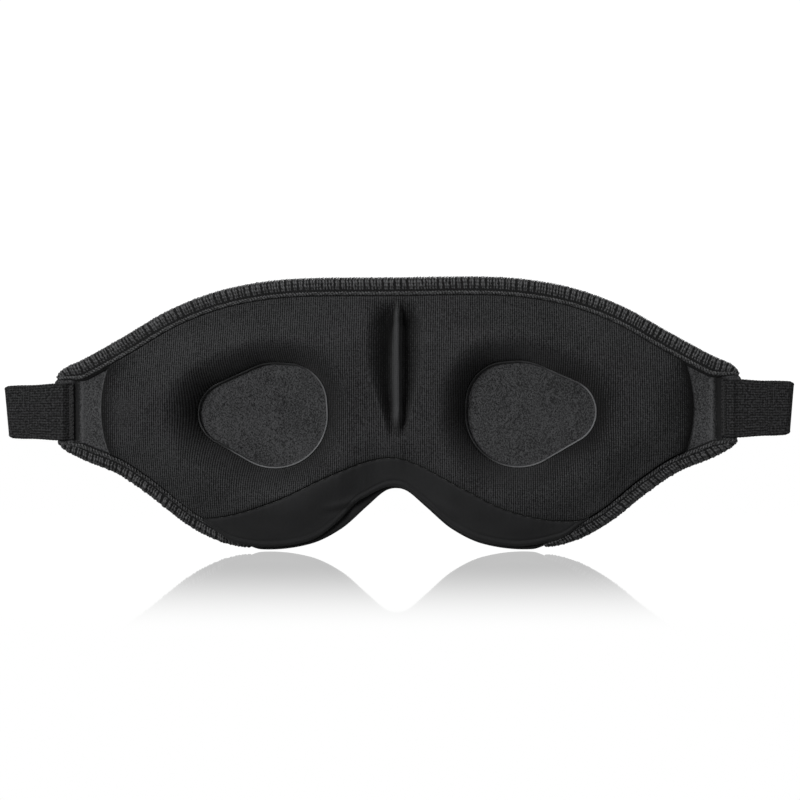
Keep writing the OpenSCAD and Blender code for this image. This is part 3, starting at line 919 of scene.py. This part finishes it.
def binding(label, line, x_from, x_to, width, slant, ends, node, stitch_node):
    def along(gap):
        at, x, z, normal = along_outline(line, x_from, x_to, gap)
        return at, x, z, normal, lip_width(line, x, width(x)), fullness(x, x_from, x_to, *ends)

    at, x, z, normal, lip, full = along(0.5)
    centres = np.stack([x, wrap_y(x), z], -1)
    inward = np.stack([normal[:, 0], 0 * x, normal[:, 1]], -1)
    depth = np.tile([0.0, 1.0, 0.0], (len(x), 1))
    profile = np.array([tape_profile(w) for w in lip])
    profile = CORE + (profile - CORE) * full[:, None, None]
    tape = profile_sweep(label + "_tape", centres, (inward, depth), profile, TAPE)
    settle(tape, "mask", "edge_binding", node)

    # overlock loops over the edge, from the wearer's side round to the front
    at, x, z, normal, lip, full = along(LOOP_PITCH)
    count = len(x)
    tangent = np.stack([normal[:, 1], -normal[:, 0]], -1)
    pairs = np.where(np.arange(count) % 2 == 0, 1, -1) * 0.12
    jitter = rng.normal(0, 0.12, count) + pairs
    places = loop_places(lip)
    paths = []
    for i, (n, y) in enumerate(places):
        t = 2 * i / (len(places) - 1) - 1
        n, y = (core + (value - core) * full for core, value in zip(CORE, (n, y)))
        point = on_binding(x, z, normal, n, wrap_y(x) + y + rng.normal(0, 0.05, count))
        skew = slant * t + jitter + rng.normal(0, 0.10, count)
        point[:, 0] += tangent[:, 0] * skew
        point[:, 2] += tangent[:, 1] * skew
        paths.append(point)
    paths = np.stack(paths, 1)
    ref = np.stack([tangent[:, 0], 0 * x, tangent[:, 1]], -1)[:, None]
    radius = rng.normal(0.47, 0.06, count) * (0.4 + 0.6 * full)
    verts, faces, uv = sweep(paths, radius, ref, 6, 0.5)
    loops = make_mesh(label + "_overlock_loops", verts, faces, THREAD, uv)
    settle(loops, "mask", "thread")

    # the two strands of the chain along the inner edge, wound round each other
    at, x, z, normal, lip, full = along(0.22)
    strands = []
    for k in range(2):
        turn = 2 * math.pi * at / CHAIN_PITCH + k * math.pi
        n = CORE[0] + (lip * 0.77 + 0.40 * np.cos(turn) - CORE[0]) * full
        y = wrap_y(x) + CORE[1] - (BIND_T + 1.39) * full + 0.28 * np.sin(turn)
        strands.append(on_binding(x, z, normal, n, y))
    chain = threads(label + "_chain_stitch", strands, 0.34, (0, 1, 0), THREAD)
    settle(chain, "mask", "thread", stitch_node)


binding("top_binding", TOP_LINE, -117.2, 117.2, lambda x: np.full_like(x, BIND_W + 0.7), 0.35,
        (3, 3), "binding_top", "top_stitches")
for end, label in SIDES:
    binding(label + "_binding", BOTTOM_LINE, end * (BIND_END + 1), end * 116.6,
            lambda x: mix(2.6, SIDE_BIND_W + 0.4, step(BIND_END, SEAM_END, np.abs(x))), 0.9,
            (12, 3), "binding_" + label, label + "_edge_stitches")


# ---- seam threads
def seam_threads():
    paths = []
    pitch = 3.2
    for i in range(-19, 20):
        x = i * pitch + np.linspace(0, 0.74 * pitch, 7)
        z = seam_z(x) - 0.35
        y = face_y(x, z) + 0.75 - 0.25 * np.sin(np.linspace(0, math.pi, 7))
        paths.append(np.stack([x, y, z], -1))
    piece = threads("pad_seam_stitches", paths, 0.2, (0, 1, 0), DARK_THREAD)
    settle(piece, "mask", "thread", "flap_stitches")


seam_threads()


# ---- straps
def web_profile(half_width, thickness):
    """A woven strap's section: flat faces, soft selvedges with a slight bead."""
    u = np.concatenate([np.linspace(-1, -0.88, 7)[:-1], np.linspace(-0.88, 0.88, 13),
                        np.linspace(0.88, 1, 7)[1:]])
    rim = np.sqrt(np.clip(1 - np.clip((np.abs(u) - 0.93) / 0.07, 0, 1) ** 2, 0, 1))
    t = thickness / 2 * rim * (1 + 0.14 * bell(np.abs(u) - 0.93, 0.03))
    top = np.stack([u * half_width, t], -1)
    bottom = np.stack([u[::-1][1:-1] * half_width, -t[::-1][1:-1]], -1)
    return np.concatenate([top, bottom])


def web(name, side, path, normal, half, thick, shear):
    """A strap swept along a plan path (points, 2) given for the left side."""
    path = np.array(path, float)
    count = len(path)
    centres = np.stack([path[:, 0], path[:, 1], np.full(count, STRAP_Z)], -1)
    up = np.tile([0.0, 0.0, 1.0], (count, 1))
    up[:, 0] = -np.asarray(shear)
    out = np.stack([normal[:, 0], normal[:, 1], np.zeros(count)], -1)
    profile = np.array([web_profile(h, t) for h, t in zip(half, thick)])
    centres, up, out = (part * [-side, 1, 1] for part in (centres, up, out))
    return profile_sweep(name, centres, (up, out), profile, ELASTIC)


SPLIT_X = 126.0  # where a strap's two pieces meet
SEWN_X = 112.2  # it is sewn down flat this far out
WEB_HALF_W = 9.3


def selvedge(length):
    """The picks' slight waves along a strap's edges."""
    return 0.05 * np.sin(length * 2 * math.pi / 1.1)


def strap_end(label, side):
    """From the sewn end out to the split: a folded, rounded end, then the plain web."""
    ax = np.concatenate([np.arange(110.9, 118, 0.2), np.arange(118, SPLIT_X + 0.3, 0.4)])
    ax[-1] = SPLIT_X
    sewn = 1 - step(SEWN_X, SEWN_X + 1.2, ax)
    band = bell(ax - 114.3, 1.0)
    thick = STRAP_T - 0.55 * sewn + 0.95 * band
    lining = wrap_y(ax) - 0.62
    centre_y = mix(lining, STRAP_Y, step(113, 118, ax)) + 0.35 * sewn - 0.55 * band
    half = mix(9.9, WEB_HALF_W, step(115, SPLIT_X, ax)) + selvedge(ax)
    path = np.stack([-ax, centre_y], -1)
    normal = np.tile([0.0, 1.0], (len(ax), 1))
    piece = web(label + "_strap_end", side, path, normal, half, thick, np.zeros(len(ax)))
    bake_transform(piece)
    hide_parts(label + "_strap_anchor", label + "_strap_bend", label + "_strap_root")


RISE = math.pi - FOLD_TURN
RISE_DIR = np.array([math.cos(RISE), math.sin(RISE)])
RISE_SIDE = np.array([-RISE_DIR[1], RISE_DIR[0]])
RISE_FROM = np.array([-FOLD_X, FOLD_Y]) + FOLD_R * np.array(
    [-math.sin(FOLD_TURN), -math.cos(FOLD_TURN)])
BEND_FROM = RISE_FROM + TAIL_RISE * RISE_DIR
BEND_CENTRE = BEND_FROM - TAIL_BEND_R * RISE_SIDE
LEVEL_Y = BEND_CENTRE[1] + TAIL_BEND_R
TAIL_TIP_X = BEND_CENTRE[0] + TAIL_END


def tail_path():
    """Plan points and outward normals from the split, round the fold, to the tail's tip."""
    points, normals = [], []
    for ax in np.arange(SPLIT_X, FOLD_X, 0.4):
        points.append((-ax, STRAP_Y))
        normals.append((0, -1))
    for turn in np.linspace(0, FOLD_TURN, 26):
        out = np.array([-math.sin(turn), -math.cos(turn)])
        points.append(np.array([-FOLD_X, FOLD_Y]) + FOLD_R * out)
        normals.append(out)
    for d in np.arange(0.8, TAIL_RISE, 0.8):
        points.append(RISE_FROM + d * RISE_DIR)
        normals.append(RISE_SIDE)
    for turn in np.linspace(RISE, 0, 16):
        out = np.array([-math.sin(turn), math.cos(turn)])
        points.append(BEND_CENTRE + TAIL_BEND_R * out)
        normals.append(out)
    for d in np.append(np.arange(0.8, TAIL_END - 0.4, 0.8), TAIL_END):
        points.append((BEND_CENTRE[0] + d, LEVEL_Y))
        normals.append((0, 1))
    return np.array([np.asarray(p, float) for p in points]), np.array(normals, float)


HEM_L = 2.8


def strap_tail(label, side):
    points, normals = tail_path()
    length = np.concatenate([[0], np.cumsum(np.linalg.norm(np.diff(points, axis=0), axis=1))])
    fold_at = FOLD_X - SPLIT_X
    fold_end = fold_at + FOLD_R * FOLD_TURN
    round_corner = bell(length - (fold_at + fold_end) / 2, 1.5)
    half = WEB_HALF_W - 0.15 * step(fold_at - 4, fold_at, length) - 0.55 * round_corner
    half += 0.2 * step(fold_end, fold_end + 20, length) + selvedge(length)
    from_tip = length[-1] - length
    half -= 0.5 * (1 - quarter_round(from_tip / 0.8))
    # the tip is turned over once on the side away from the body and sewn down
    hem = 1 - step(HEM_L - 0.3, HEM_L + 0.3, from_tip)
    thick = STRAP_T + 0.75 * hem - 0.5 * (1 - quarter_round(from_tip / 0.7))
    points = points + normals * (0.36 * hem)[:, None]
    shear = 0.085 * step(0, fold_at, length) * (1 - step(fold_end, fold_end + 25, length))
    piece = web(label + "_strap_tail_web", side, points, normals, half, thick, shear)
    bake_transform(piece)
    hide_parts(label + "_strap_fold", label + "_strap_tail")


DIP = 0.12  # how deep a stitch's ends lie, as a share of its lift


def dashes(start, end, pitch, lift):
    """Stitch paths from start to end: each dips in at its ends and stands proud by `lift`."""
    start, end = np.array(start, float), np.array(end, float)
    length = np.linalg.norm(end - start)
    count = max(1, int(round(length / pitch)))
    along = (end - start) / length
    t = np.linspace(0, 0.78 * length / count, 7)
    paths = []
    for i in range(count):
        points = start + along * (i * length / count + t)[:, None]
        points = points + np.array(lift) * (np.sin(np.linspace(0, math.pi, 7)) - DIP)[:, None]
        paths.append(points)
    return paths


def anchor_stitches(label, side):
    """A close zigzag across the strap's sewn end, with a straight row on each side of it."""
    y = wrap_y(SEWN_X) - 0.56
    low, high = STRAP_Z - STRAP_W / 2 + 0.3, STRAP_Z + STRAP_W / 2 - 0.3
    paths = []
    for row, (x0, x1) in enumerate([(110.9, 112.7), (111.2, 112.4)]):
        turns = np.arange(low + row * 0.5, high, 0.55)
        for i, z in enumerate(turns[:-1]):
            a, b = (x0, x1) if i % 2 else (x1, x0)
            t = np.linspace(0, 1, 6)
            x = mix(a, b, t) + rng.normal(0, 0.08)
            lift = -0.16 * np.sin(t * math.pi) - 0.05 * row
            paths.append(np.stack([side * x, y + lift, mix(z, turns[i + 1], t)], -1))
    for x in (111.0, 112.8):
        paths += dashes((side * x, y + 0.02, low), (side * x, y + 0.02, high), 1.5, (0, -0.15, 0))
    piece = threads(label + "_anchor_zigzag", paths, 0.19, (0, 0.3, 1), DARK_THREAD)
    settle(piece, "mask", "thread", label + "_anchor_stitches")


for end, label in SIDES:
    strap_end(label, end)
    strap_tail(label, end)
    anchor_stitches(label, end)


# ---- hook and loop patches
PATCH_L, PATCH_W = 38, 16
PATCH_X = TAIL_TIP_X - 3 - PATCH_L / 2
WEB_FACE = STRAP_T / 2


def patch_base(name, side, out, material):
    """The tape under the hooks or loops, with round corners; out is its direction along Y."""
    corner = 1.6
    half_l, half_w = PATCH_L / 2, PATCH_W / 2
    edge = np.array([0, 0.1, 0.25, 0.5])
    z = np.concatenate([-half_w + edge, np.linspace(-half_w + 1, half_w - 1, 26),
                        half_w - edge[::-1]])
    over = np.clip(np.abs(z) - (half_w - corner), 0, corner)
    reach = half_l - (corner - np.sqrt(np.clip(corner**2 - over**2, 0, None)))
    u = np.concatenate([-1 + edge / half_l, np.linspace(-0.94, 0.94, 60), 1 - edge[::-1] / half_l])
    x = reach[:, None] * u[None]
    z = np.repeat(z[:, None], len(u), 1)
    room = np.minimum(reach[:, None] * (1 - np.abs(u)), half_w - np.abs(z))
    top = 0.06 + 0.5 * quarter_round((room + 0.02) / 0.5)
    weave = np.sin(x * 2 * math.pi / 1.3) * np.sin(z * 2 * math.pi / 1.3)
    top += 0.04 * weave - 0.12 * bell(room - 1.0, 0.35)
    front, back = (LEVEL_Y + out * (WEB_FACE + t) for t in (top, 0.04 + 0 * top))
    if out > 0:
        front, back = back, front
    return slab(name, x - side * PATCH_X, z + STRAP_Z, front, back, material)


def hook_rows():
    """Small hooks in rows, each leaning over at its top."""
    paths = []
    stem = np.array([[0, 0, 0], [0, 0.22, 0], [0.03, 0.40, 0], [0.14, 0.52, 0], [0.27, 0.50, 0],
                     [0.33, 0.40, 0]])
    for i, x in enumerate(np.arange(-PATCH_L / 2 + 1.7, PATCH_L / 2 - 1.5, 0.95)):
        for z in np.arange(-PATCH_W / 2 + 1.8, PATCH_W / 2 - 1.6, 0.95):
            lean = 1 if i % 2 else -1
            at = np.array([PATCH_X + x, LEVEL_Y + WEB_FACE + 0.5, STRAP_Z + z])
            paths.append(at + stem * [lean, 1, 1] + rng.normal(0, 0.02, 3) * [1, 0, 1])
    return paths


LOOP_COUNT = 2600


def loop_pile():
    """A nap of small loops in all directions."""
    t = np.linspace(0, math.pi, 6)
    paths = []
    for _ in range(LOOP_COUNT):
        x = rng.uniform(-PATCH_L / 2 + 1.5, PATCH_L / 2 - 1.5)
        z = rng.uniform(-PATCH_W / 2 + 1.5, PATCH_W / 2 - 1.5)
        turn, wide = rng.uniform(0, math.pi), rng.uniform(0.25, 0.5)
        tall, lean = rng.uniform(0.25, 0.55), rng.normal(0, 0.12)
        side = np.cos(t) * wide
        points = np.stack([side * math.cos(turn) + lean * np.sin(t), -tall * np.sin(t),
                           side * math.sin(turn)], -1)
        paths.append(points + [-PATCH_X + x, LEVEL_Y - WEB_FACE - 0.45, STRAP_Z + z])
    return paths


def patch_threads(label, side, out):
    """The box of stitches that holds a patch, seen on both faces of the strap."""
    paths = []
    half_l, half_w = PATCH_L / 2 - 1.0, PATCH_W / 2 - 1.0
    corners = [(-half_l, -half_w), (half_l, -half_w), (half_l, half_w), (-half_l, half_w)]
    for y, lift in ((LEVEL_Y + out * (WEB_FACE + 0.50), out * 0.16),
                    (LEVEL_Y - out * (WEB_FACE + 0.02), -out * 0.16)):
        for (x0, z0), (x1, z1) in zip(corners, corners[1:] + corners[:1]):
            paths += dashes((x0 - side * PATCH_X, y, z0 + STRAP_Z),
                            (x1 - side * PATCH_X, y, z1 + STRAP_Z), 2.2, (0, lift, 0))
    return threads(label, paths, 0.16, (0.1, 1, 0.1), DARK_THREAD)


def hem_stitches(label, side):
    """A row across the turned-over tip of a tail."""
    x = side * -(TAIL_TIP_X - HEM_L + 1.2)
    low, high = STRAP_Z - 8.6, STRAP_Z + 8.6
    paths = []
    for y, lift in ((LEVEL_Y + WEB_FACE + 0.72, 0.15), (LEVEL_Y - WEB_FACE - 0.02, -0.15)):
        paths += dashes((x, y, low), (x, y, high), 2.0, (0, lift, 0))
    piece = threads(label + "_tail_hem_stitches", paths, 0.16, (0.1, 1, 0.1), DARK_THREAD)
    settle(piece, label + "_strap_tail", "thread")


def patches():
    for end, label, kind, material, held, radius, ref, sides, taper, rows in (
        (-1, "left", "hook", HOOKS, "hooks", 0.085, (0, 0.2, 1), 5, 0.7, hook_rows),
        (1, "right", "loop", NAP, "pile", 0.045, (0.3, 1, 0.2), 3, 0.8, loop_pile),
    ):
        tail, slot = label + "_strap_tail", kind + "_tape"
        base = patch_base(slot + "_base", end, -end, material)
        settle(base, tail, slot, kind + "_patch")
        nap = threads(slot + "_" + held, rows(), radius, ref, material, sides, taper)
        settle(nap, tail, slot)
    for (end, label), kind in zip(SIDES, ("hook", "loop")):
        piece = patch_threads(kind + "_tape_stitches", end, -end)
        settle(piece, label + "_strap_tail", "thread", kind + "_patch_stitches")
    for end, label in SIDES:
        hem_stitches(label, end)


patches()


# ---- stage, light and camera
FLOOR_Z = -47.3 * MM
FLOOR_HALF = 3.0
MIRROR_SHARE = 0.47  # of the light that the floor reflects beside the object
BACKDROP = 1.05  # how bright the camera and reflections see the world
FILL = 0.09  # how bright it is as a light
SENSOR, IMAGE_W = 36, 800
PIXEL = 0.3407 * MM  # one pixel's width at the target
ROLL = -0.0062  # the camera's slight turn about its line of sight, in radians


def stage():
    """A white floor, polished under the object so that it mirrors the lobes softly."""
    mesh = bpy.data.meshes.new("floor")
    r = FLOOR_HALF
    mesh.from_pydata([(-r, -r, FLOOR_Z), (r, -r, FLOOR_Z), (r, r, FLOOR_Z), (-r, r, FLOOR_Z)],
                     [], [(0, 1, 2, 3)])
    floor = new_object("floor", mesh)
    mat, tree, shader = new_material("floor_white", 1.0, specular=0.0)
    shader.inputs["Base Color"].default_value = (0.35, 0.35, 0.35, 1)
    bright = add(tree, "Emission", {"Color": (1, 1, 1, 1), "Strength": 1.0})
    mirror = add(tree, "BsdfGlossy", {"Color": (1, 1, 1, 1), "Roughness": 0.03})
    place = add(tree, "TexCoord").outputs["Object"]
    flat = add(tree, "VectorMath", {0: place, 1: (0.25, 1, 0)}, operation="MULTIPLY").outputs[0]
    away = add(tree, "VectorMath", {0: flat}, operation="LENGTH").outputs["Value"]
    fade = add(tree, "MapRange", {"Value": away, "From Min": 0.04, "From Max": 0.195,
                                  "To Min": MIRROR_SHARE, "To Max": 0.0},
               interpolation_type="SMOOTHSTEP")
    seen = add(tree, "MixShader", {0: fade.outputs[0], 1: bright.outputs[0],
                                   2: mirror.outputs[0]})
    ray = add(tree, "LightPath")
    both = add(tree, "MixShader", {0: ray.outputs["Is Camera Ray"], 1: shader.outputs[0],
                                   2: seen.outputs[0]})
    tree.links.new(both.outputs[0], tree.nodes["Material Output"].inputs["Surface"])
    mesh.materials.append(mat)

    world = bpy.data.worlds.new("studio")
    bpy.context.scene.world = world
    world.use_nodes = True
    tree = world.node_tree
    white = tree.nodes["Background"]
    white.inputs["Color"].default_value = (1, 1, 1, 1)
    white.inputs["Strength"].default_value = BACKDROP
    fill = add(tree, "Background", {"Color": (1, 1, 1, 1), "Strength": FILL})
    ray = add(tree, "LightPath")
    seen = maths("MAXIMUM", ray.outputs["Is Camera Ray"], ray.outputs["Is Glossy Ray"])
    both = add(tree, "MixShader", {0: seen, 1: fill.outputs[0], 2: white.outputs[0]})
    tree.links.new(both.outputs[0], tree.nodes["World Output"].inputs["Surface"])


def area_light(name, place, size, power):
    data = bpy.data.lights.new(name, "AREA")
    data.shape = "RECTANGLE"
    data.size, data.size_y = size
    data.energy = power
    light = new_object(name, data)
    light.location = place
    aim(light, (0, 0, 0))


def aim(obj, target):
    direction = Vector(target) - Vector(obj.location)
    obj.rotation_euler = direction.to_track_quat("-Z", "Y").to_euler()


def camera():
    data = bpy.data.cameras.new("camera")
    data.sensor_width = SENSOR
    distance, yaw, rise = 0.62, math.radians(3.5), math.radians(0.6)
    target = (2.1 * MM, 0.0, 4.75 * MM)
    data.lens = SENSOR * distance / (IMAGE_W * PIXEL)
    data.clip_start = 0.01
    cam = new_object("camera", data)
    cam.location = (
        target[0] + distance * math.sin(yaw) * math.cos(rise),
        target[1] - distance * math.cos(yaw) * math.cos(rise),
        target[2] + distance * math.sin(rise),
    )
    aim(cam, target)
    cam.rotation_euler.rotate_axis("Z", ROLL)
    bpy.context.scene.camera = cam


stage()
area_light("key", (-0.40, -0.95, 0.2), (0.3, 0.3), 10.5)
area_light("top", (-0.2, -0.25, 0.9), (0.7, 0.4), 3.5)
area_light("back", (0.35, 0.9, 0.45), (0.5, 0.5), 11)
camera()
bpy.context.scene.view_settings.view_transform = "Standard"
